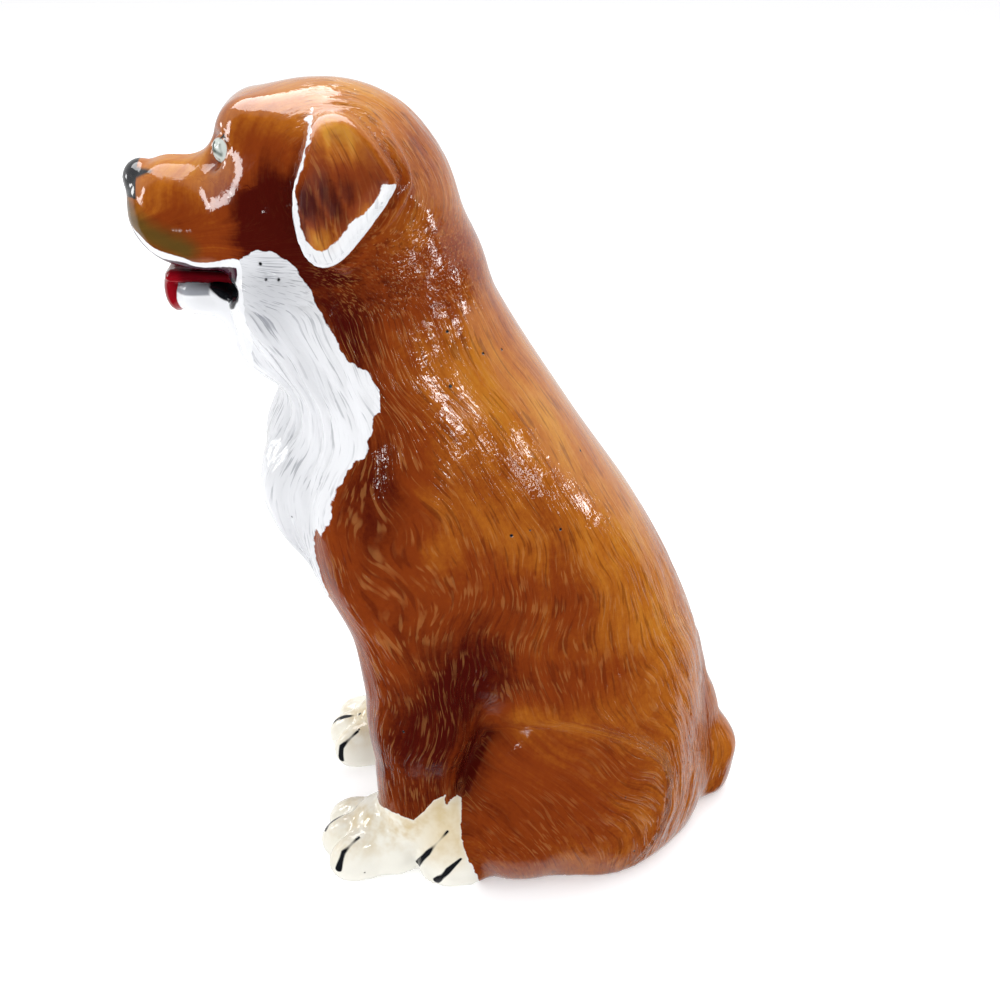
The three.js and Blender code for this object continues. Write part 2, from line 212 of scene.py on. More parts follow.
def follow(line, place):
    stops, values = np.array(line, float).T
    slopes = np.empty_like(values)
    slopes[1:-1] = (values[2:] - values[:-2]) / (stops[2:] - stops[:-2])
    slopes[0] = (values[1] - values[0]) / (stops[1] - stops[0])
    slopes[-1] = (values[-1] - values[-2]) / (stops[-1] - stops[-2])
    t = np.clip(place, stops[0], stops[-1])
    i = np.clip(np.searchsorted(stops, t) - 1, 0, len(stops) - 2)
    step = stops[i + 1] - stops[i]
    u = (t - stops[i]) / step
    leaving = (1 + 2 * u) * (1 - u) ** 2 * values[i] + u * (1 - u) ** 2 * step * slopes[i]
    return leaving + u * u * (3 - 2 * u) * values[i + 1] + u * u * (u - 1) * step * slopes[i + 1]


def outlineDistance(y, z, points):
    nearest = np.full(y.shape, np.inf)
    side = np.ones(y.shape)
    for i, (ay, az) in enumerate(points):
        by, bz = points[i - 1]
        ey, ez = by - ay, bz - az
        ty, tz = y - ay, z - az
        t = np.clip((ty * ey + tz * ez) / (ey * ey + ez * ez), 0, 1)
        nearest = np.minimum(nearest, np.hypot(ty - ey * t, tz - ez * t))
        above, below, beyond = z >= az, z < bz, ey * tz > ez * ty
        side = np.where((above & below & beyond) | ~(above | below | beyond), -side, side)
    return side * nearest


def rounded(points, rounds=2):
    # Cuts the corners of a closed outline
    points = np.array(points, float)
    for _ in range(rounds):
        after = np.roll(points, -1, 0)
        points = np.stack([0.75 * points + 0.25 * after, 0.25 * points + 0.75 * after], 1).reshape(-1, 2)
    return points


def trunkForm(p):
    front, rear, wide = (follow(trunk[key], p[:, 2]) for key in ("chest", "back", "halfWidth"))
    long = (rear - front) / 2
    power = trunk["squareness"]
    across = (np.abs(p[:, 0]) / wide) ** power + (np.abs(p[:, 1] - front - long) / long) ** power
    side = (across ** (1 / power) - 1) * np.minimum(wide, long) * trunk["lean"]
    return carve(side, trunk["top"] - p[:, 2], trunk["topBlend"])


def forelegForm(q):
    joints = [(foreleg[name], foreleg[name + "Radius"]) for name in ("wrist", "elbow", "shoulder")]
    (wrist, wristRadius), (elbow, elbowRadius), (shoulder, shoulderRadius) = joints
    lower = limb(q, wrist, elbow, wristRadius, elbowRadius)
    upper = limb(q, elbow, shoulder, elbowRadius, shoulderRadius)
    return fuse(fuse(lower, upper, blend["leg"]), blob(q, foreleg["blade"]), blend["blade"])


def forepawForm(q):
    paw = blob(q, forepaw["pad"])
    for x, y, yaw in forepaw["toes"]:
        toe = {"centre": (x, y, forepaw["toeHeight"]), "radii": forepaw["toeRadii"], "yaw": yaw}
        paw = fuse(paw, blob(q, toe), blend["toe"])
    return paw


def hindpawForm(q):
    paw = blob(q, hindpaw["pad"])
    for yaw in hindpaw["toeYaws"]:
        x = hindpaw["fanCentre"][0] + hindpaw["fanRadii"][0] * sin(radians(yaw))
        y = hindpaw["fanCentre"][1] - hindpaw["fanRadii"][1] * cos(radians(yaw))
        toe = {"centre": (x, y, hindpaw["toeHeight"]), "radii": hindpaw["toeRadii"], "yaw": yaw}
        paw = fuse(paw, blob(q, toe), blend["toe"])
    return paw


def thighForm(q):
    leg = fuse(blob(q, thigh["ham"]), blob(q, thigh["knee"]), blend["knee"])
    return fuse(leg, limb(q, thigh["rumpFrom"], thigh["rumpTo"], *thigh["rumpRadii"]), blend["rump"])


def tailForm(p):
    pieces = [limb(p, a[:3], b[:3], a[3], b[3]) for a, b in zip(tail[:-1], tail[1:])]
    form = pieces[0]
    for piece in pieces[1:]:
        form = fuse(form, piece, blend["tail"])
    return form


def ruffForm(p):
    form = blob(p, ruff["body"])
    for centre in ruff["locks"]:
        lock = {"centre": centre, "radii": ruff["lockRadii"], "tilt": ruff["lockTilt"]}
        form = fuse(form, blob(p, lock), blend["lock"])
    return form


def tongueForm(p):
    return fuse(block(p, mouth["tongue"]), blob(p, mouth["tongueTip"]), blend["tongueTip"])


def headForm(p, q):
    form = fuse(blob(p, skull["dome"]), block(p, skull["brow"]), blend["brow"])
    form = fuse(form, blob(q, skull["cheek"]), blend["cheek"])
    snout = fuse(block(p, muzzle["block"]), blob(q, muzzle["lip"]), blend["lip"])
    form = fuse(form, snout, blend["muzzle"])
    form = fuse(form, blob(q, skull["jowl"]), blend["jowl"])
    jaw = fuse(block(p, mouth["jaw"]), blob(p, mouth["chin"]), blend["chin"])
    form = fuse(form, jaw, blend["jaw"])
    form = carve(form, block(p, mouth["gap"]), blend["gap"])
    form = carve(form, blob(q, mouth["corner"]), blend["gap"])
    form = fuse(form, tongueForm(p), blend["tongue"])
    form = fuse(form, blob(p, muzzle["nose"]), blend["nose"])
    form = carve(form, blob(q, muzzle["nostril"]), blend["nostril"])
    form = carve(form, blob(q, eye["socket"]), blend["socket"])
    return fuse(form, blob(q, eye["ball"]), blend["ball"])


def slab(outline, standOff, edge):
    side, front = outline + edge, standOff + edge
    outside = np.hypot(np.maximum(side, 0), np.maximum(front, 0))
    return outside + np.minimum(np.maximum(side, front), 0) - edge


def earOutline(y, z):
    return outlineDistance(y, z, rounded(ear["outline"])) - ear["grow"]


def earWave(y, z):
    return (y + 0.32 * (z - 180) + 0.8 * np.sin(z / 4)) * 6.283 / ear["foldPitch"]


def earShape(q):
    x, y, z = q.T
    outline = earOutline(y, z)
    face = follow(ear["face"], z) + ear["flare"] * (ear["flareFrom"] - y)
    drawn = outline + ear["drawIn"] * np.clip(face - x, 0, ear["drawDepth"])
    flap = slab(drawn, x - face, ear["round"])
    behind = smooth(y, -36, -26)  # hair that frames the flap on its rear and lower side
    fringe = slab(drawn - ear["fringe"] * behind, x - face + ear["fringeDrop"], ear["round"])
    rim = ear["rim"] - 1.4 * smooth(z, 176, 183) * smooth(y, -31, -25)
    bowl = outline + rim + np.maximum(z - ear["bowlTop"], 0) * ear["bowlFade"]
    fold = 0.5 + 0.5 * np.sin(earWave(y, z))
    folds = ear["foldHeight"] * fold ** 2 * smooth(y, -21, -27) * smooth(-bowl, 0.5, 4)
    depth = ear["bowlDepth"] * np.clip(-bowl / ear["bowlSlope"], 0, 1) - folds
    flap = carve(flap, -fuse(-bowl, x - face + depth, blend["bowlEdge"]), blend["bowl"])
    return np.maximum(fuse(flap, fringe, blend["fringe"]), ear["inside"] - x)


def earForm(q):
    form = np.full(len(q), 40.0)
    near = (q[:, 0] > 6) & (q[:, 1] > -50) & (q[:, 1] < 4) & (q[:, 2] > 150)
    if near.any():
        form[near] = earShape(q[near])
    return form


def puppyForms(p):
    q = np.stack([np.abs(p[:, 0]), p[:, 1], p[:, 2]], -1)
    return {
        "trunk": trunkForm(p), "foreleg": forelegForm(q), "ruff": ruffForm(p), "thigh": thighForm(q),
        "forepaw": forepawForm(q), "hindpaw": hindpawForm(q), "tail": tailForm(p), "head": headForm(p, q),
        "ear": earForm(q),
    }


def puppy(p):
    forms = puppyForms(p)
    body = fuse(forms["trunk"], forms["foreleg"], blend["shoulder"])
    body = fuse(body, forms["ruff"], blend["ruff"])
    body = fuse(body, forms["thigh"], blend["thigh"] + blend["haunch"] * smooth(p[:, 1], *thigh["haunch"]))
    for name in ("forepaw", "hindpaw", "tail", "head", "ear"):
        body = fuse(body, forms[name], blend[name])
    return np.maximum(body, -p[:, 2])


# Surface mesh over the distances

gridFine = {
    "x": (-44, [(-36, 1.4), (-13, 1.0), (13, 1.25), (36, 1.0), (44, 1.4)]),
    "y": (-80, [(-12, 1.0), (81, 1.35)]),
    "z": (-1, [(22, 1.05), (146, 1.45), (204, 0.95)]),
}


def gridLines(start, stretches):
    lines = [start]
    for end, spacing in stretches:
        count = round((end - lines[-1]) / spacing)
        lines.extend(np.linspace(lines[-1], end, count + 1)[1:])
    return np.array(lines, float)


def inPieces(field, points, size=200000):
    return np.concatenate([field(points[i:i + size]) for i in range(0, len(points), size)])


def surfaceMesh(field, axes):
    # One vertex in each cell that the surface crosses, one face round each crossed grid edge
    places = np.stack(np.meshgrid(*axes, indexing="ij"), -1)
    value = inPieces(field, places.reshape(-1, 3)).reshape(places.shape[:3])
    cells = np.array(value.shape) - 1
    total, count, corners = np.zeros((*cells, 3)), np.zeros(cells), []
    for axis in range(3):
        low = tuple(slice(0, -1) if n == axis else slice(None) for n in range(3))
        high = tuple(slice(1, None) if n == axis else slice(None) for n in range(3))
        crossed = (value[low] < 0) != (value[high] < 0)
        at = np.argwhere(crossed)
        t = (value[low] / (value[low] - value[high] + 1e-30))[crossed][:, None]
        point = places[low][crossed] * (1 - t) + places[high][crossed] * t
        around = []
        for stepA, stepB in ((0, 0), (0, 1), (1, 1), (1, 0)):
            cell = at.copy()
            cell[:, (axis + 1) % 3] -= stepA
            cell[:, (axis + 2) % 3] -= stepB
            np.add.at(total, tuple(cell.T), point)
            np.add.at(count, tuple(cell.T), 1)
            around.append(cell)
        around = np.stack(around, 1)
        inward = value[low][crossed] < 0
        around[inward] = around[inward][:, ::-1]
        corners.append(around)
    used = count > 0
    number = np.full(count.shape, -1)
    number[used] = np.arange(used.sum())
    corners = np.concatenate(corners)
    return total[used] / count[used][:, None], number[tuple(np.moveaxis(corners, -1, 0))]


def slopeOf(field, p, step=0.05):
    ahead = np.eye(3) * step
    return np.stack([(field(p + ahead[n]) - field(p - ahead[n])) / (2 * step) for n in range(3)], -1)


def settle(field, p, rounds=2):
    for _ in range(rounds):
        slope = slopeOf(field, p)
        move = np.clip(field(p) / np.maximum((slope * slope).sum(-1), 0.05), -0.5, 0.5)
        p = p - move[:, None] * slope
    return p


def relax(p, faces, share=0.5):
    total, count = np.zeros_like(p), np.zeros(len(p))
    for n in range(4):
        for other in (faces[:, (n + 1) % 4], faces[:, (n + 3) % 4]):
            np.add.at(total, faces[:, n], p[other])
            np.add.at(count, faces[:, n], 1)
    return p * (1 - share) + share * total / count[:, None]


def vertexNormals(p, faces):
    across = np.cross(p[faces[:, 2]] - p[faces[:, 0]], p[faces[:, 3]] - p[faces[:, 1]])
    total = np.zeros_like(p)
    for n in range(4):
        np.add.at(total, faces[:, n], across)
    return total / np.maximum(norm(total), 1e-9)[:, None]


def noise(p, seed=0):
    # Smooth noise of about -1 to 1, with one bump per unit
    base = np.floor(p).astype(np.int64)
    part = p - base
    fade = part * part * part * (part * (part * 6 - 15) + 10)
    result = np.zeros(len(p))
    for corner in range(8):
        step = np.array([corner & 1, (corner >> 1) & 1, corner >> 2])
        mixed = (base + step) @ np.array([73856093, 19349663, 83492791]) + seed * 2654435
        mixed = (mixed ^ (mixed >> 13)) * 1274126177 & 0x7FFFFFFF
        mixed = (mixed ^ (mixed >> 15)) & 0xFFFF
        angle, level = (mixed & 255) * (6.283 / 256), ((mixed >> 8) / 127.5 - 1)
        flat = np.sqrt(np.maximum(1 - level * level, 0))
        away = part - step
        value = away[:, 0] * flat * np.cos(angle) + away[:, 1] * flat * np.sin(angle) + away[:, 2] * level
        weight = np.where(step, fade, 1 - fade).prod(-1)
        result += value * weight
    return result * 1.6


# Fur: across the strands and along them, in mm, the same on both sides of the dog

fur = {
    "bodyReach": 40.0,
    "leans": [  # how far the strands lean, centre and reach in y and z
        (0.4, (10.0, 84.0), (30.0, 42.0)),
        (0.5, (16.0, 70.0), (36.0, 26.0)),
        (0.5, (-36.0, 116.0), (16.0, 26.0)),
    ],
    "legAxis": (23.0, -14.5), "legReach": 15.0, "legStart": 20.0,
    "hipCentre": (-8.0, 0.0), "hipArc": 34.0,
    "earCentre": (22.0, -28.0, 181.0), "earArc": 28.0, "earStart": 63.0,
    "bowlLean": 0.35, "bowlMiddle": 180.0, "bowlWave": 1.2, "bowlWaveLength": 5.0,
    "waves": [(4.5, 40.0), (2.2, 16.0), (0.45, 9.0)],
    "lock": (4.6, 20.0), "lockDepth": 0.5,
    "strand": (3.0, 15.0), "strandDepth": 0.2,
    "bibLock": (7.0, 30.0), "bibDepth": 0.9, "bibStrandDepth": 0.25,
}


def window(y, z, centre, size):
    return np.exp(-((y - centre[0]) / size[0]) ** 2 - ((z - centre[1]) / size[1]) ** 2)


def furSpace(p, forms):
    x, y, z = np.abs(p[:, 0]), p[:, 1], p[:, 2]
    front, rear, wide = (follow(trunk[key], z) for key in ("chest", "back", "halfWidth"))
    long = (rear - front) / 2
    across = np.arctan2(x / wide, (front + long - y) / long) * fur["bodyReach"]
    for lean, centre, reach in fur["leans"]:
        across -= lean * (z - centre[1]) * window(y, z, centre, reach)
    along = z.copy()
    legX, legY = fur["legAxis"]
    leg = np.arctan2(x - legX, legY - y) * fur["legReach"] + fur["legStart"]
    across += smooth(z, 84, 56) * smooth(y, 14, 2) * (leg - across)
    earX, earY, earZ = fur["earCentre"]
    ring = norm(np.stack([x - earX, y - earY, z - earZ], -1)) + fur["earStart"]
    onHead = smooth(z, 152, 176)
    across += onHead * (ring - across)
    along += onHead * (np.arctan2(z - earZ, y - earY) * fur["earArc"] - along)
    hipY, hipZ = fur["hipCentre"]
    onThigh = smooth(np.minimum(forms["trunk"], forms["foreleg"]) - forms["thigh"], -0.5, 1.0)
    across += onThigh * (np.hypot(y - hipY, z - hipZ) - across)
    along += onThigh * (np.arctan2(z - hipZ, y - hipY) * fur["hipArc"] - along)
    inBowl = smooth(-earOutline(y, z), 0.0, 1.5) * smooth(x, 14, 17)
    bowl = y + fur["bowlLean"] * (z - fur["bowlMiddle"])
    bowl += fur["bowlWave"] * np.sin(z / fur["bowlWaveLength"])
    across += inBowl * (bowl + fur["earStart"] - across)
    along += inBowl * (z - along)
    across += sum(noise(p / size, seed) * amount for seed, (amount, size) in enumerate(fur["waves"]))
    return np.stack([across, along, np.zeros(len(p))], -1)


def strandNoise(space, size, seed):
    level = np.full(len(space), seed + 0.5)
    return noise(np.stack([space[:, 0] / size[0], space[:, 1] / size[1], level], -1), seed)


def grooves(space, size, seed):
    return np.clip(1 - np.abs(strandNoise(space, size, seed)) * 3.2, 0, 1)


# Painted areas: distances in mm that are below nought inside, and soft shares of nought to one

paint = {
    "bib": [
        (-52.5, 162.2), (-50, 165.2), (-46, 168.3), (-42, 167.8), (-38.9, 165.3), (-35, 159.7),
        (-32.3, 153), (-28.4, 146), (-24.2, 141.2), (-20.6, 138), (-21.4, 132.8), (-25.1, 124.3),
        (-31.3, 114.4), (-34.1, 106.7), (-36.2, 101.5), (-38.6, 96.5), (-37, 90), (-36, 84), (-37.5, 76),
        (-60, 70), (-90, 90), (-90, 158.6), (-66, 158.6), (-53.4, 155),
    ],
    "lipLow": [
        (-78, 176), (-76, 172.5), (-74.1, 169.5), (-72.3, 167.3), (-70.2, 165), (-67.7, 163.8),
        (-64.9, 163.6), (-62.5, 163.2), (-60.7, 162.2), (-57.6, 161.9), (-54.8, 162.3), (-51.4, 163.3),
    ],
    "lipTop": [
        (-78, 177.2), (-76, 173.6), (-74.5, 170.5), (-71.8, 168.6), (-69.9, 166.9), (-67.3, 165.8),
        (-64.6, 165.2), (-62.3, 164.4), (-60, 163.3), (-57.3, 163.4), (-54.7, 164.1), (-51.8, 165.3),
    ],
    "lipEnd": -49.6, "gumEnd": -50.6, "gumUnder": 160.2, "away": 5.0,
    "olive": [(-76, 175), (-73.5, 171.8), (-69.5, 169.6), (-65, 167.8), (-62, 166.6)], "oliveWidth": 2.6,
    # Ends and heights of the grey patch below the tongue
    "greyUnderTongueEnds": (-66.4, -58.8), "greyUnderTongueHeights": (154.4, 157),
    "foreCoat": [
        (-30, 19.3), (-27, 19.7), (-24.5, 20.9), (-20.5, 21.7), (-17.5, 20.8), (-14.5, 24), (-12, 27.8),
        (-8, 28.4),
    ],
    "hindCoat": [  # z, y
        (-2, 0.4), (3.2, -1.1), (9.1, -3.2), (12.6, -4.2), (16.3, -5.2), (20.3, -5.2), (26.2, -5),
        (28.4, -8.6),
    ],
    "earRim": [(-31, 4.8), (-28, 4.4), (-20, 3.2), (-15, 2.4)], "earRimTop": 182.5,
    "earEdge": [(164, 5.2), (168, 4.0), (172, 2.6), (178, 2.0), (184, 1.2), (194, 1.1)],
    "noseBack": -72.3, "noseUnder": 176.4,
    "darkness": 0.62,
    "paintedLightAndShade": [  # y, z, reach along, reach up, amount of painted shade over the coat; below nought it is painted light
        (-43, 174, 7.5, 15, 1.1), (-36, 160, 9, 9, 0.45), (-26, 150, 8, 14, 0.55), (-21, 118, 10, 20, 0.5),
        (-16, 46, 14, 34, 0.62), (12, 28, 22, 24, 0.28), (-10, 160, 12, 8, 0.3), (-2, 62, 9, 20, 0.45),
        (8, 82, 18, 16, 0.22), (14, 62, 18, 6, 0.35), (-62, 170, 10, 6, 0.22), (-30, 95, 8, 20, 0.25),
        (30, 78, 12, 14, 0.15), (20, 130, 13, 24, -0.30), (38, 96, 12, 24, -0.34), (54, 56, 9, 22, -0.22),
        (0, 140, 9, 14, -0.20), (-28, 199, 22, 7, -0.45), (-62, 184, 16, 4, -0.34), (12, 50, 20, 5, -0.16),
        (-48, 181, 4, 4, -0.1),
    ],
    # y, z, reach along, reach up, amount over the ear's bowl: painted shade inside it, painted light near
    # its top, two yellow patches
    "earShade": [
        (-28, 179, 10, 10, 0.6), (-26, 190, 8, 5, -0.35), (-31.5, 171.5, 4, 3.5, -0.9),
        (-22, 175.5, 2.5, 3.5, -0.8),
    ],
    "earFoldHighlight": -0.28,
    "bowlDull": 0.75, "muzzleDull": [(-63, 184, 9, 5, 0.6)], "mostDull": 0.8,
    "mouthDark": [
        (-62, 159.2), (-61, 157), (-58.5, 155.5), (-56, 153.4), (-53.5, 152.8), (-51.4, 154.5),
        (-50.9, 160.8), (-60, 160.4),
    ],
    "ruffled": [  # y, z, reach along, reach up, amount of relief
        (10, 68, 26, 20, 0.9), (-22, 90, 12, 20, 0.25), (-16, 50, 12, 26, 0.5), (50, 22, 18, 24, 0.8),
        (54, 66, 12, 34, 0.6), (-14, 190, 18, 12, 0.5),
    ],
    "calm": 0.04,
    # y, z, reach along, reach up, amount of painted shade on the white bib, strongest under the jaw
    "bibShade": [
        (-44, 158, 9, 12, 1.0), (-38, 138, 8, 9, 0.45), (-44, 118, 8, 16, 0.4), (-42, 94, 6, 10, 0.5),
    ],
}


def brushed(y, z, strokes):
    return sum(amount * window(y, z, (cy, cz), (ry, rz)) for cy, cz, ry, rz, amount in strokes)


def valueAt(line, place):
    stops, values = np.array(line, float).T
    return np.interp(place, stops, values)


def lineDistance(y, z, points):
    nearest = np.full(y.shape, np.inf)
    for (ay, az), (by, bz) in zip(points[:-1], points[1:]):
        ey, ez = by - ay, bz - az
        t = np.clip(((y - ay) * ey + (z - az) * ez) / (ey * ey + ez * ez), 0, 1)
        nearest = np.minimum(nearest, np.hypot(y - ay - ey * t, z - az - ez * t))
    return nearest


def paintAreas(p, forms, space):
    q = np.stack([np.abs(p[:, 0]), p[:, 1], p[:, 2]], -1)
    x, y, z = q.T
    ragged = noise(p / 5.0, 11) * 0.8 + noise(p / 2.2, 12) * 0.4
    tufted = strandNoise(space, (2.6, 12.0), 13) * 1.3
    onHead = smooth(z, 140, 150)
    coatNear = np.minimum(np.minimum(forms["trunk"], forms["foreleg"]), forms["thigh"])
    bib = outlineDistance(y, z, paint["bib"]) + (ragged + tufted) * (1 - 0.7 * onHead)
    forePaw = np.maximum(z - valueAt(paint["foreCoat"], y) + 0.6 * ragged, y + 9)
    hindLine = y - valueAt(paint["hindCoat"], z)
    hindPaw = np.maximum(np.maximum(hindLine, z - 28), forms["hindpaw"] - coatNear + 0.3)
    paws = np.minimum(forePaw, hindPaw + 0.3 * ragged)
    overLip, aboveLip = z - valueAt(paint["lipTop"], y), z - valueAt(paint["lipLow"], y)
    outline = earOutline(y, z)
    rimTop = np.minimum(y + 32.5, z - paint["earRimTop"])
    rimWidth = valueAt(paint["earRim"], y) * smooth(y, -33, -29)
    rimWidth += valueAt(paint["earEdge"], z) * smooth(y, -29, -33)
    rim = np.maximum(np.maximum(-outline - rimWidth + 0.4 * ragged, rimTop), outline - 0.9)
    rim = np.maximum(rim, follow(ear["face"], z) - 2.6 - x)
    tongue = tongueForm(p) - 0.3
    throat = np.maximum(np.maximum(block(p, mouth["gap"]), y + 50.4) - 0.5, aboveLip + 1.6)
    mouthDark = np.maximum(outlineDistance(y, z, paint["mouthDark"]), 4 - x)
    throat = np.minimum(np.minimum(throat, blob(q, mouth["corner"]) - 0.35), mouthDark)
    fold = 0.5 + 0.5 * np.sin(earWave(y, z))
    earBowl = smooth(-outline, 1.2, 3.2) * smooth(x, 15, 18) * smooth(follow(ear["face"], z) - 6 - x, 1, -1)
    gum = np.maximum(aboveLip, paint["gumUnder"] - z)
    (front, back), (low, high) = paint["greyUnderTongueEnds"], paint["greyUnderTongueHeights"]
    # Painted shade in the ear's bowl, with painted highlights on the fold tops
    bowlShade = brushed(y, z, paint["earShade"]) + paint["earFoldHighlight"] * fold ** 6 * smooth(y, -20, -27)
    dull = paint["bowlDull"] * earBowl + brushed(y, z, paint["muzzleDull"])
    return {
        "white": np.minimum(np.minimum(bib, paws), rim),
        "overLip": np.where(y < paint["lipEnd"], overLip, paint["away"]),
        "aboveLip": np.where(y < paint["gumEnd"], gum, paint["away"]),
        "throat": throat, "tongue": tongue,
        "greyUnderTongue": np.maximum(np.maximum(y - back, z - high), np.maximum(low - z, front - y)),
        "olive": lineDistance(y, z, paint["olive"]) - paint["oliveWidth"],
        # Painted shade and painted light over the coat, with the ear's bowl painted darker inside
        "paintedLightAndShade": paint["darkness"] + brushed(y, z, paint["paintedLightAndShade"]) + earBowl * bowlShade,
        "shadeAndGreyStrokes": brushed(y, z, paint["bibShade"]),
        "paws": smooth(z, 34, 24) * smooth(-paws, -1, 1),
        "earBowl": earBowl,
        "dull": np.clip(dull, 0, paint["mostDull"]),
    }


def furDepth(p, areas):
    x, y, z = np.abs(p[:, 0]), p[:, 1], p[:, 2]
    face = smooth(y, -30, -42) * smooth(z, 152, 160)
    depth = 1 - 0.94 * face
    depth *= 1 - 0.95 * areas["paws"]
    depth *= 1 - smooth(-earOutline(y, z), -0.5, 1.0) * smooth(z, 160, 166) * smooth(x, 10, 16)
    depth *= 1 - 0.85 * window(y, z, (13, 40), (20, 19)) * smooth(x, 24, 30)
    depth *= smooth(z, 0.2, 3)
    for name in ("tongue", "throat"):
        depth *= smooth(areas[name], 0, 1)
    return depth


def furLift(p, space, depth, areas):
    onBib = smooth(-areas["white"], -0.5, 2.5) * smooth(p[:, 2], 70, 84) * smooth(p[:, 2], 168, 156)
    coat = fur["strandDepth"] * strandNoise(space, fur["strand"], 22)
    coat -= fur["lockDepth"] * grooves(space, fur["lock"], 21)
    bib = fur["bibStrandDepth"] * strandNoise(space, fur["strand"], 24)
    bib -= fur["bibDepth"] * grooves(space, fur["bibLock"], 23)
    edge = 0.55 * smooth(-areas["white"], -0.5, 0.9) * smooth(p[:, 2], 70, 80) * smooth(p[:, 2], 164, 158)
    ruffled = paint["calm"] + brushed(p[:, 1], p[:, 2], paint["ruffled"])
    return depth * (coat * ruffled + onBib * (bib - coat * ruffled)) + edge


def addPuppy():
    grid = gridFine
    p, faces = surfaceMesh(puppy, [gridLines(*grid[name]) for name in "xyz"])
    for _ in range(2):
        p = settle(puppy, relax(p, faces))
    print("puppy surface", len(p), "points,", len(faces) * 2, "triangles")
    forms = puppyForms(p)
    space = furSpace(p, forms)
    areas = paintAreas(p, forms, space)
    depth = furDepth(p, areas)
    normals = vertexNormals(p, faces)
    # How hollow the surface is round each point; the glaze paints shade into hollows with it
    hollow = 1 - puppy(p + normals * 5.0) / 5.0
    p = p + normals * furLift(p, space, depth, areas)[:, None]
    p[:, 2] = np.maximum(p[:, 2], 0)
    low, high = (np.array(v) * 1000 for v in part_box(bodyNode))
    p[:, 1] += (low[1] + high[1]) / 2 - (p[:, 1].min() + p[:, 1].max()) / 2
    p[:, 2] *= high[2] / p[:, 2].max()
    mesh = bpy.data.meshes.new("puppy")
    mesh.from_pydata((p / 1000).tolist(), [], faces.tolist())
    mesh.polygons.foreach_set("use_smooth", np.ones(len(faces), bool))
    ruffled = paint["calm"] + brushed(p[:, 1], p[:, 2], paint["ruffled"])
    values = {**areas, "hollow": hollow, "furDepth": depth, "ruffled": ruffled * depth}
    for name, value in values.items():
        mesh.attributes.new(name, "FLOAT", "POINT").data.foreach_set("value", value.astype(np.float32))
    strands = mesh.attributes.new("fur", "FLOAT_VECTOR", "POINT")
    strands.data.foreach_set("vector", space.astype(np.float32).ravel())
    mesh.update()
    puppyPiece = bpy.data.objects.new("puppy", mesh)
    bpy.context.collection.objects.link(puppyPiece)
    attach(puppyPiece, "root")
    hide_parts(bodyNode)
    mesh.materials.append(paintedGlaze())
    return puppyPiece


# Painted and varnished surface, with painted light and shade in its colour

glaze = {
    # Coat colours from light to shade; the painted light and shade moves the coat between them
    "amber": (0.56, 0.245, 0.030),
    "ochre": (0.42, 0.125, 0.012),
    "redBrown": (0.215, 0.036, 0.005),
    "deepBrown": (0.060, 0.004, 0.002),
    # Painted highlight along the raised hairs
    "hairHighlight": (0.56, 0.25, 0.075),
    "white": (0.84, 0.85, 0.87),
    "cream": (0.66, 0.52, 0.29),
    "pawWhite": (0.95, 0.93, 0.84),
    # Grey for the painted shade on the white, its faint grey strokes and the grey patch below the tongue
    "greyPaintAndShade": (0.30, 0.31, 0.34),
    "black": (0.010, 0.011, 0.014),
    "red": (0.26, 0.003, 0.009),
    "darkRed": (0.13, 0.002, 0.006),
    "purple": (0.045, 0.010, 0.022),
    "olive": (0.075, 0.060, 0.012),
    "eyeball": (0.58, 0.62, 0.58),
    "iris": (0.04, 0.06, 0.045),
}

brush = {  # start, end in mm with the side taken as positive, start radius, end radius
    "toes": [
        ((23.6, -41.2, 9.4), (22.4, -38.3, 12.4), 0.75, 0.6),
        ((22.4, -38.3, 12.4), (20.8, -33.0, 14.4), 0.6, 0.3),
        ((34.6, -38.0, 5.4), (33.4, -36.3, 10.2), 0.95, 0.75),
        ((33.4, -36.3, 10.2), (31.6, -32.3, 13.3), 0.75, 0.4),
        ((13.2, -39.2, 3.6), (13.3, -38.8, 8.2), 0.95, 0.8),
        ((13.3, -38.8, 8.2), (14.5, -33.9, 12.6), 0.8, 0.4),
        ((33.2, -17.0, 4.6), (36.2, -14.2, 11.0), 0.95, 0.75),
        ((36.2, -14.2, 11.0), (36.9, -9.0, 18.5), 0.75, 0.35),
        ((37.3, -12.4, 2.0), (38.8, -9.0, 7.2), 1.0, 0.9),
        ((38.8, -9.0, 7.2), (38.6, -5.8, 10.4), 0.9, 0.4),
    ],
    "lids": [
        ((12.9, -51.7, 190.1), (11.2, -54.6, 186.6), 0.3, 0.5),
        ((11.2, -54.6, 186.6), (12.2, -53.6, 184.9), 0.5, 0.3),
        ((12.9, -51.7, 190.1), (14.6, -50.2, 187.4), 0.35, 0.2),
        ((14.6, -50.2, 187.4), (13.6, -51.8, 184.4), 0.2, 0.3),
        ((12.2, -53.6, 184.9), (13.6, -51.8, 184.4), 0.3, 0.3),
    ],
    "pupil": [
        ((12.0, -54.0, 188.4), (12.2, -54.0, 187.0), 0.5, 0.6),
        ((12.6, -53.8, 187.0), (13.4, -52.4, 186.4), 0.5, 0.6),
        ((13.2, -52.6, 188.2), (13.5, -52.2, 186.6), 0.35, 0.5),
        ((12.4, -53.6, 185.9), (13.0, -52.9, 185.3), 0.3, 0.3),
    ],
    "eyeball": (12.7, -53.0, 187.1), "eyeballEdge": (2.3, 2.7),
    "smear": [((5.5, -72.6, 181.4), (7.4, -69.2, 181.9), 1.7, 0.5)],
    "pinholes": [
        (23.6, -5.9, 149.4), (27.2, -5.6, 137.9), (21.4, 2.2, 143.3), (17.3, 6.8, 142.7),
        (30.1, 19.5, 102.4), (33.4, 7.6, 103.0), (21.1, -45.5, 164.8), (21.5, -44.5, 161.4),
        (22.1, -41.8, 161.5),
    ],
}


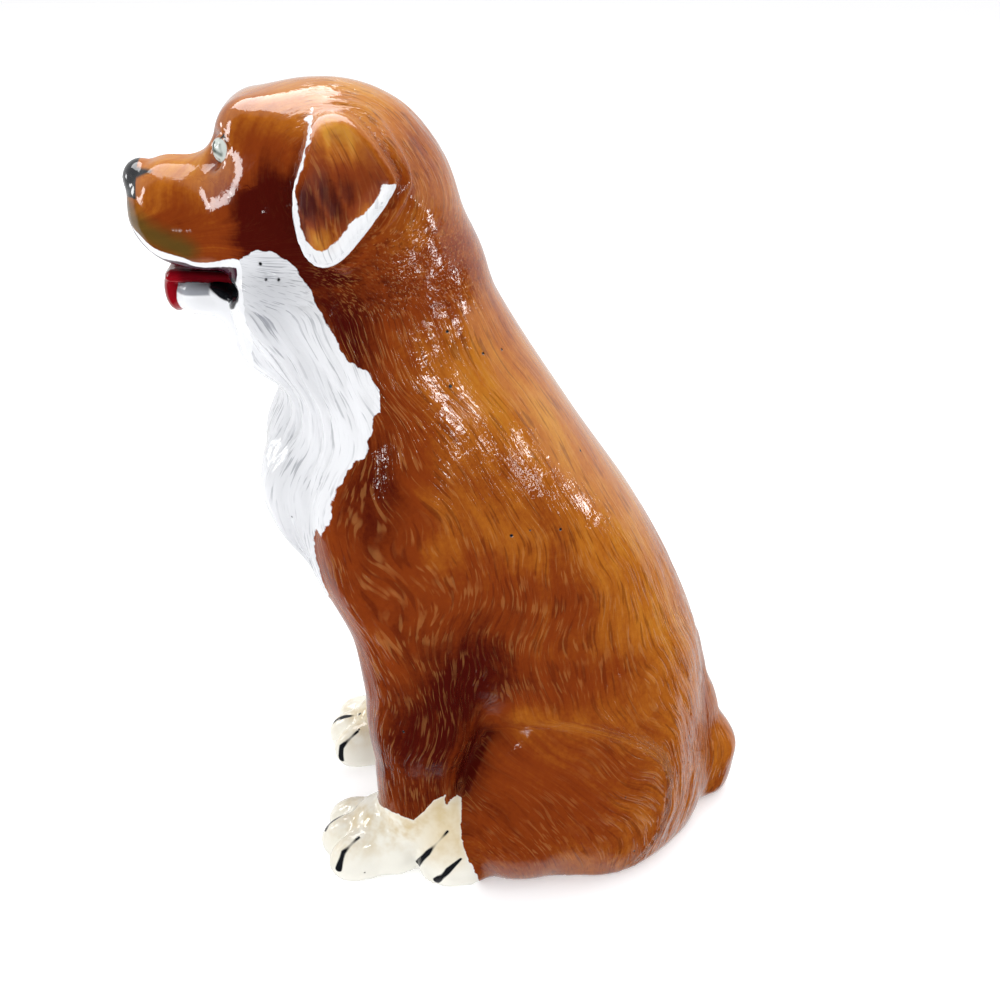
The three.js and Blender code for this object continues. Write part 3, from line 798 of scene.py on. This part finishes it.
class Nodes:
    def __init__(self, owner):
        owner.use_nodes = True
        self.tree = owner.node_tree
        self.shader = self.tree.nodes.get("Principled BSDF")

    def put(self, target, value):
        if isinstance(value, bpy.types.NodeSocket):
            self.tree.links.new(value, target)
        else:
            plainColour = target.type == "RGBA" and isinstance(value, tuple) and len(value) == 3
            target.default_value = (*value, 1) if plainColour else value

    def attribute(self, name, part="Fac"):
        node = self.tree.nodes.new("ShaderNodeAttribute")
        node.attribute_name = name
        return node.outputs[part]

    def math(self, kind, a, b=0.0, clamp=False):
        node = self.tree.nodes.new("ShaderNodeMath")
        node.operation = kind
        node.use_clamp = clamp
        self.put(node.inputs[0], a)
        self.put(node.inputs[1], b)
        return node.outputs[0]

    def vector(self, kind, a, b=(0, 0, 0), part=0):
        node = self.tree.nodes.new("ShaderNodeVectorMath")
        node.operation = kind
        self.put(node.inputs[0], a)
        if kind == "SCALE":
            self.put(node.inputs["Scale"], b)
        else:
            self.put(node.inputs[1], b)
        return node.outputs[part]

    def noise(self, space, scale, detail=2.0, roughness=0.5):
        node = self.tree.nodes.new("ShaderNodeTexNoise")
        self.put(node.inputs["Vector"], space)
        self.put(node.inputs["Scale"], scale)
        self.put(node.inputs["Detail"], detail)
        self.put(node.inputs["Roughness"], roughness)
        return node.outputs["Fac"]

    def cells(self, space, scale):
        node = self.tree.nodes.new("ShaderNodeTexVoronoi")
        self.put(node.inputs["Vector"], space)
        self.put(node.inputs["Scale"], scale)
        return node.outputs["Distance"]

    def ramp(self, value, low, high, start=0.0, end=1.0):
        node = self.tree.nodes.new("ShaderNodeMapRange")
        node.interpolation_type = "SMOOTHSTEP"
        self.put(node.inputs["Value"], value)
        for key, number in (("From Min", low), ("From Max", high), ("To Min", start), ("To Max", end)):
            self.put(node.inputs[key], number)
        return node.outputs["Result"]

    def mix(self, share, a, b):
        node = self.tree.nodes.new("ShaderNodeMix")
        node.data_type = "RGBA"
        for key, value in (("Factor_Float", share), ("A_Color", a), ("B_Color", b)):
            socket = next(item for item in node.inputs if item.identifier == key)
            self.put(socket, value)
        return next(item for item in node.outputs if item.identifier == "Result_Color")

    def bump(self, height, distance, normal=None):
        node = self.tree.nodes.new("ShaderNodeBump")
        self.put(node.inputs["Height"], height)
        node.inputs["Distance"].default_value = distance
        node.inputs["Strength"].default_value = 1.0
        if normal:
            self.put(node.inputs["Normal"], normal)
        return node.outputs["Normal"]

    def inside(self, name, soft=0.12, wobble=None):
        edge = self.attribute(name)
        return self.ramp(self.math("ADD", edge, wobble) if wobble else edge, -soft, soft, 1.0, 0.0)

    def stroke(self, place, start, end, startRadius, endRadius, soft=0.15):
        # Tapered brush stroke between two places
        line = np.subtract(end, start)
        offset = self.vector("SUBTRACT", place, start)
        dot = self.vector("DOT_PRODUCT", offset, tuple(line / (line @ line)), 1)
        share = self.math("MULTIPLY", dot, 1.0, clamp=True)
        away = self.vector("SUBTRACT", offset, self.vector("SCALE", tuple(line), share))
        distance = self.vector("LENGTH", away, part=1)
        width = self.math("MULTIPLY_ADD", share, endRadius - startRadius)
        width.node.inputs[2].default_value = startRadius
        return self.ramp(self.math("SUBTRACT", distance, width), -soft, soft, 1.0, 0.0)

    def strokes(self, place, lines, soft=0.15):
        total = None
        for line in lines:
            one = self.stroke(place, *line, soft=soft)
            total = self.math("MAXIMUM", total, one) if total else one
        return total


strandLines = {  # pitch across, length, shift of the pattern
    "dark": (0.85, 9.0, 40.0), "light": (0.8, 8.0, 0.0), "fine": (0.6, 6.0, 15.0), "grey": (0.9, 9.0, 8.0),
}


def stretched(n, strand, pitch, length, shift=0.0):
    moved = n.vector("ADD", strand, (shift, shift * 3, 0.0))
    return n.vector("MULTIPLY", moved, (1 / pitch, 1 / length, 0.0))


def hairs(n, strand, kind):
    # Thin strands at the peaks of a drawn-out noise
    level = n.noise(stretched(n, strand, *strandLines[kind]), 1.0, 1.0, 0.5)
    return n.ramp(level, 0.57, 0.66)


def coatLayer(n, strand, place):
    depth = n.math("MAXIMUM", n.attribute("furDepth"), n.attribute("earBowl"))
    cloudy = n.math("SUBTRACT", n.noise(place, 0.075, 3, 0.6), 0.5)
    streaks = n.math("SUBTRACT", n.noise(stretched(n, strand, 2.4, 26), 1.0, 3, 0.6), 0.5)
    patches = n.math("SUBTRACT", n.noise(stretched(n, strand, 9, 30), 1.0, 2, 0.5), 0.5)
    speckle = n.math("SUBTRACT", n.noise(place, 0.9, 2, 0.6), 0.5)
    # The coat goes from amber through ochre and red-brown to deep brown as the painted shade grows, with
    # random tone noise added
    paintedLightAndShade = n.attribute("paintedLightAndShade")
    for part, amount in ((cloudy, 0.45), (streaks, 0.5), (patches, 0.5), (speckle, 0.22)):
        paintedLightAndShade = n.math("ADD", paintedLightAndShade, n.math("MULTIPLY", part, amount))
    # Painted shade in hollows and creases
    paintedLightAndShade = n.math("ADD", paintedLightAndShade, n.ramp(n.attribute("hollow"), 0.15, 0.9, 0.0, 0.55))
    colour = n.mix(n.ramp(paintedLightAndShade, 0.0, 0.5), glaze["amber"], glaze["ochre"])
    colour = n.mix(n.ramp(paintedLightAndShade, 0.35, 0.85), colour, glaze["redBrown"])
    colour = n.mix(n.ramp(paintedLightAndShade, 0.8, 1.35), colour, glaze["deepBrown"])
    patchy = n.ramp(n.noise(place, 0.14, 2, 0.5), 0.38, 0.62, 0.15, 1.0)
    # Dark strands are painted shade in the gaps between hairs; light strands are painted highlights along
    # the raised hairs
    strandShade = n.math("MULTIPLY", hairs(n, strand, "dark"), depth)
    colour = n.mix(n.math("MULTIPLY", strandShade, 0.38), colour, glaze["deepBrown"])
    strandHighlights = n.math("MAXIMUM", hairs(n, strand, "light"), hairs(n, strand, "fine"))
    strandHighlights = n.math("MULTIPLY", n.math("MULTIPLY", strandHighlights, patchy), depth)
    return n.mix(n.math("MULTIPLY", strandHighlights, 0.26), colour, glaze["hairHighlight"])


def whiteLayer(n, strand, place):
    notPaws = n.math("SUBTRACT", 1.0, n.attribute("paws"))
    faint = n.ramp(n.noise(stretched(n, strand, 1.3, 12), 1.0, 3, 0.6), 0.52, 0.85)
    faint = n.math("MAXIMUM", faint, hairs(n, strand, "grey"))
    faint = n.math("MULTIPLY", faint, n.ramp(n.noise(place, 0.1, 2, 0.5), 0.35, 0.6, 0.25, 1.0))
    # Grey over the white: painted shade under the jaw and in hollows, and faint grey strokes, all kept off
    # the paws
    shadeAndGreyStrokes = n.math("MULTIPLY", n.attribute("shadeAndGreyStrokes"), 0.5)
    shadeAndGreyStrokes = n.math("ADD", shadeAndGreyStrokes, n.math("MULTIPLY", faint, 0.55))
    shadeAndGreyStrokes = n.math("ADD", shadeAndGreyStrokes, n.ramp(n.attribute("hollow"), 0.3, 1.0, 0.0, 0.3))
    colour = n.mix(n.math("MULTIPLY", shadeAndGreyStrokes, notPaws, clamp=True), glaze["white"], glaze["greyPaintAndShade"])
    paws = n.attribute("paws")
    colour = n.mix(paws, colour, glaze["pawWhite"])
    mottled = n.ramp(n.noise(place, 0.16, 3, 0.6), 0.35, 0.7, 0.1, 0.9)
    top = n.ramp(n.vector("DOT_PRODUCT", place, (0.0, 0.0, 1.0), 1), 4.0, 17.0)
    rear = n.ramp(n.vector("DOT_PRODUCT", place, (0.0, 1.0, 0.0), 1), -22.0, -10.0, 0.0, 0.6)
    for share in (rear, mottled):
        amount = n.math("MULTIPLY", n.math("MULTIPLY", paws, share), top)
        colour = n.mix(amount, colour, glaze["cream"])
    return colour


def paintedGlaze():
    material = bpy.data.materials.new("painted glaze")
    n = Nodes(material)
    strand = n.attribute("fur", "Vector")
    place = n.vector("SCALE", n.tree.nodes.new("ShaderNodeTexCoord").outputs["Object"], 1000.0)
    mirrored = n.vector("ABSOLUTE", place)
    mirrored = n.vector("MULTIPLY", mirrored, (1.0, 0.0, 1.0))
    mirrored = n.vector("ADD", mirrored, n.vector("MULTIPLY", place, (0.0, 1.0, 0.0)))
    wobble = n.math("MULTIPLY", n.math("SUBTRACT", n.noise(place, 0.5, 3), 0.5), 1.3)
    slight = n.math("MULTIPLY", wobble, 0.45)
    colour = coatLayer(n, strand, place)
    colour = n.mix(n.math("MULTIPLY", n.inside("olive", 2.2, wobble), 0.8), colour, glaze["olive"])
    white = whiteLayer(n, strand, place)
    colour = n.mix(n.inside("white", 0.12, wobble), colour, white)
    colour = n.mix(n.inside("overLip", 0.12, slight), colour, glaze["white"])
    colour = n.mix(n.inside("aboveLip", 0.12, slight), colour, glaze["purple"])
    colour = n.mix(n.inside("throat", 0.2), colour, glaze["black"])
    # A grey patch below the tongue
    colour = n.mix(n.inside("greyUnderTongue", 0.3), colour, glaze["greyPaintAndShade"])
    split = n.tree.nodes.new("ShaderNodeSeparateXYZ")
    n.put(split.inputs[0], mirrored)
    tongue = n.mix(n.ramp(split.outputs[1], -66.5, -64.5), glaze["red"], glaze["darkRed"])
    colour = n.mix(n.inside("tongue", 0.15), colour, tongue)
    tip = n.math("MAXIMUM", n.math("SUBTRACT", split.outputs[1], paint["noseBack"]),
                 n.math("SUBTRACT", paint["noseUnder"], split.outputs[2]))
    nose = n.ramp(n.math("ADD", tip, slight), -0.25, 0.25, 1.0, 0.0)
    nose = n.math("MAXIMUM", nose, n.strokes(mirrored, brush["smear"], 0.7))
    colour = n.mix(nose, colour, glaze["black"])
    colour = n.mix(n.strokes(mirrored, brush["toes"], 0.18), colour, glaze["black"])
    eyeball = n.ramp(n.vector("DISTANCE", mirrored, brush["eyeball"], 1), *brush["eyeballEdge"], 1.0, 0.0)
    colour = n.mix(eyeball, colour, glaze["eyeball"])
    colour = n.mix(n.strokes(mirrored, brush["pupil"], 0.25), colour, glaze["iris"])
    colour = n.mix(n.strokes(mirrored, brush["lids"], 0.2), colour, glaze["black"])
    pinholes = n.ramp(n.cells(place, 0.08), 0.015, 0.03, 1.0, 0.0)
    for spot in brush["pinholes"]:
        one = n.ramp(n.vector("DISTANCE", place, spot, 1), 0.25, 0.5, 1.0, 0.0)
        pinholes = n.math("MAXIMUM", pinholes, one)
    colour = n.mix(pinholes, colour, glaze["black"])
    n.put(n.shader.inputs["Base Color"], colour)
    n.shader.inputs["Roughness"].default_value = 0.5
    n.shader.inputs["Specular IOR Level"].default_value = 0.0
    n.put(n.shader.inputs["Coat Weight"], n.math("SUBTRACT", 1.0, n.attribute("dull")))
    n.put(n.shader.inputs["Coat Roughness"], n.ramp(n.attribute("earBowl"), 0.0, 1.0, 0.05, 0.35))
    n.shader.inputs["Coat IOR"].default_value = 1.5
    fine = n.noise(stretched(n, strand, 1.1, 16), 1.0, 2, 0.5)
    raised = n.math("MULTIPLY", hairs(n, strand, "light"), 0.4)
    raised = n.math("ADD", raised, n.math("MULTIPLY", hairs(n, strand, "fine"), 0.3))
    amount = n.math("ADD", n.math("MULTIPLY", n.attribute("furDepth"), 0.10), n.attribute("ruffled"))
    relief = n.math("MULTIPLY", n.math("ADD", fine, raised), amount)
    surface = n.bump(relief, 0.0003)
    surface = n.bump(n.noise(place, 0.35, 3), 0.00010, surface)
    surface = n.bump(n.math("MULTIPLY", pinholes, -1.0), 0.0004, surface)
    n.put(n.shader.inputs["Normal"], surface)
    n.put(n.shader.inputs["Coat Normal"], surface)
    return material


# Studio: white floor, pale room, windows that only the varnish mirrors

studio = {
    "floor": (0.86, 0.86, 0.88),
    "floorGlow": 0.34,
    "sky": 0.72,
    "seen": (0.985, 0.985, 1.0),
    "mirrorLight": 0.85, "mirrorDark": 0.015,
    "overhead": 4.0, "fill": 1.5,
    "windowDistance": 1.2,
    "windows": [  # degrees from +X toward +Y, degrees up, width and height in degrees, brightness
        (18, 10.5, 6, 4, 24), (34, 8.5, 8, 1.2, 20), (52, 6.5, 8, 1.2, 20), (37, 17, 4, 3, 26),
        (64, 12, 6, 4, 20), (45, 4.5, 3, 2, 14), (82, 6, 6, 4, 22),
        (-31, 2, 3, 1.6, 22), (-80, 24, 9, 22, 12), (-88, 11, 12, 8, 9),
        (-113, 12, 10, 9, 9), (-150, 67, 44, 46, 7),
    ],
}


def addFloor():
    mesh = bpy.data.meshes.new("floor")
    mesh.from_pydata([(-3, -3, 0), (3, -3, 0), (3, 3, 0), (-3, 3, 0)], [], [(0, 1, 2, 3)])
    floor = bpy.data.objects.new("floor", mesh)
    bpy.context.collection.objects.link(floor)
    material = bpy.data.materials.new("white floor")
    n = Nodes(material)
    n.shader.inputs["Base Color"].default_value = (*studio["floor"], 1)
    n.shader.inputs["Roughness"].default_value = 0.6
    n.shader.inputs["Emission Color"].default_value = (1, 1, 1, 1)
    n.shader.inputs["Emission Strength"].default_value = studio["floorGlow"]
    mesh.materials.append(material)
    floor.visible_glossy = False


def addRoom():
    world = bpy.data.worlds.new("room")
    bpy.context.scene.world = world
    n = Nodes(world)
    split = n.tree.nodes.new("ShaderNodeSeparateXYZ")
    n.put(split.inputs[0], n.tree.nodes.new("ShaderNodeTexCoord").outputs["Generated"])
    x, z = split.outputs["X"], split.outputs["Z"]
    front = n.math("MULTIPLY", n.ramp(x, 0.08, 0.35, 1.0, 0.0), n.ramp(z, 0.02, 0.16))
    beside = n.math("MAXIMUM", front, n.ramp(x, -0.35, -0.12, 1.0, 0.0))
    below = n.ramp(z, -0.96, -0.82, 0.8, 0.0)
    light = n.ramp(n.math("MAXIMUM", beside, below), 0.0, 1.0, studio["mirrorDark"], studio["mirrorLight"])
    path = n.tree.nodes.new("ShaderNodeLightPath")
    colour = n.mix(path.outputs["Is Glossy Ray"], (studio["sky"],) * 3, light)
    colour = n.mix(path.outputs["Is Camera Ray"], colour, studio["seen"])
    n.put(n.tree.nodes["Background"].inputs["Color"], colour)


def addLamp(name, place, size, glow, mirrored):
    data = bpy.data.lights.new(name, "AREA")
    data.shape = "RECTANGLE"
    data.size, data.size_y = size
    data.energy = glow * size[0] * size[1] * 3.1416
    lamp = bpy.data.objects.new(name, data)
    lamp.location = place
    lamp.rotation_euler = (Vector((0, 0, 0.1)) - Vector(place)).to_track_quat("-Z", "Y").to_euler()
    lamp.visible_glossy = mirrored
    lamp.visible_diffuse = not mirrored
    lamp.visible_camera = False
    bpy.context.collection.objects.link(lamp)


def addLamps():
    addLamp("overhead", (-0.3, 0.35, 1.4), (1.2, 1.2), studio["overhead"], False)
    addLamp("fill", (0.5, -1.1, 0.9), (1.0, 1.0), studio["fill"], False)
    far = studio["windowDistance"]
    for number, (turn, rise, width, height, glow) in enumerate(studio["windows"]):
        turn, rise = radians(turn), radians(rise)
        place = (far * cos(turn) * cos(rise), far * sin(turn) * cos(rise), 0.12 + far * sin(rise))
        size = (far * radians(width), far * radians(height))
        addLamp("window" + str(number), place, size, glow, True)


addCamera()
addPuppy()
addFloor()
addRoom()
addLamps()
bpy.context.scene.view_settings.view_transform = "Standard"
print("puppy dressed")
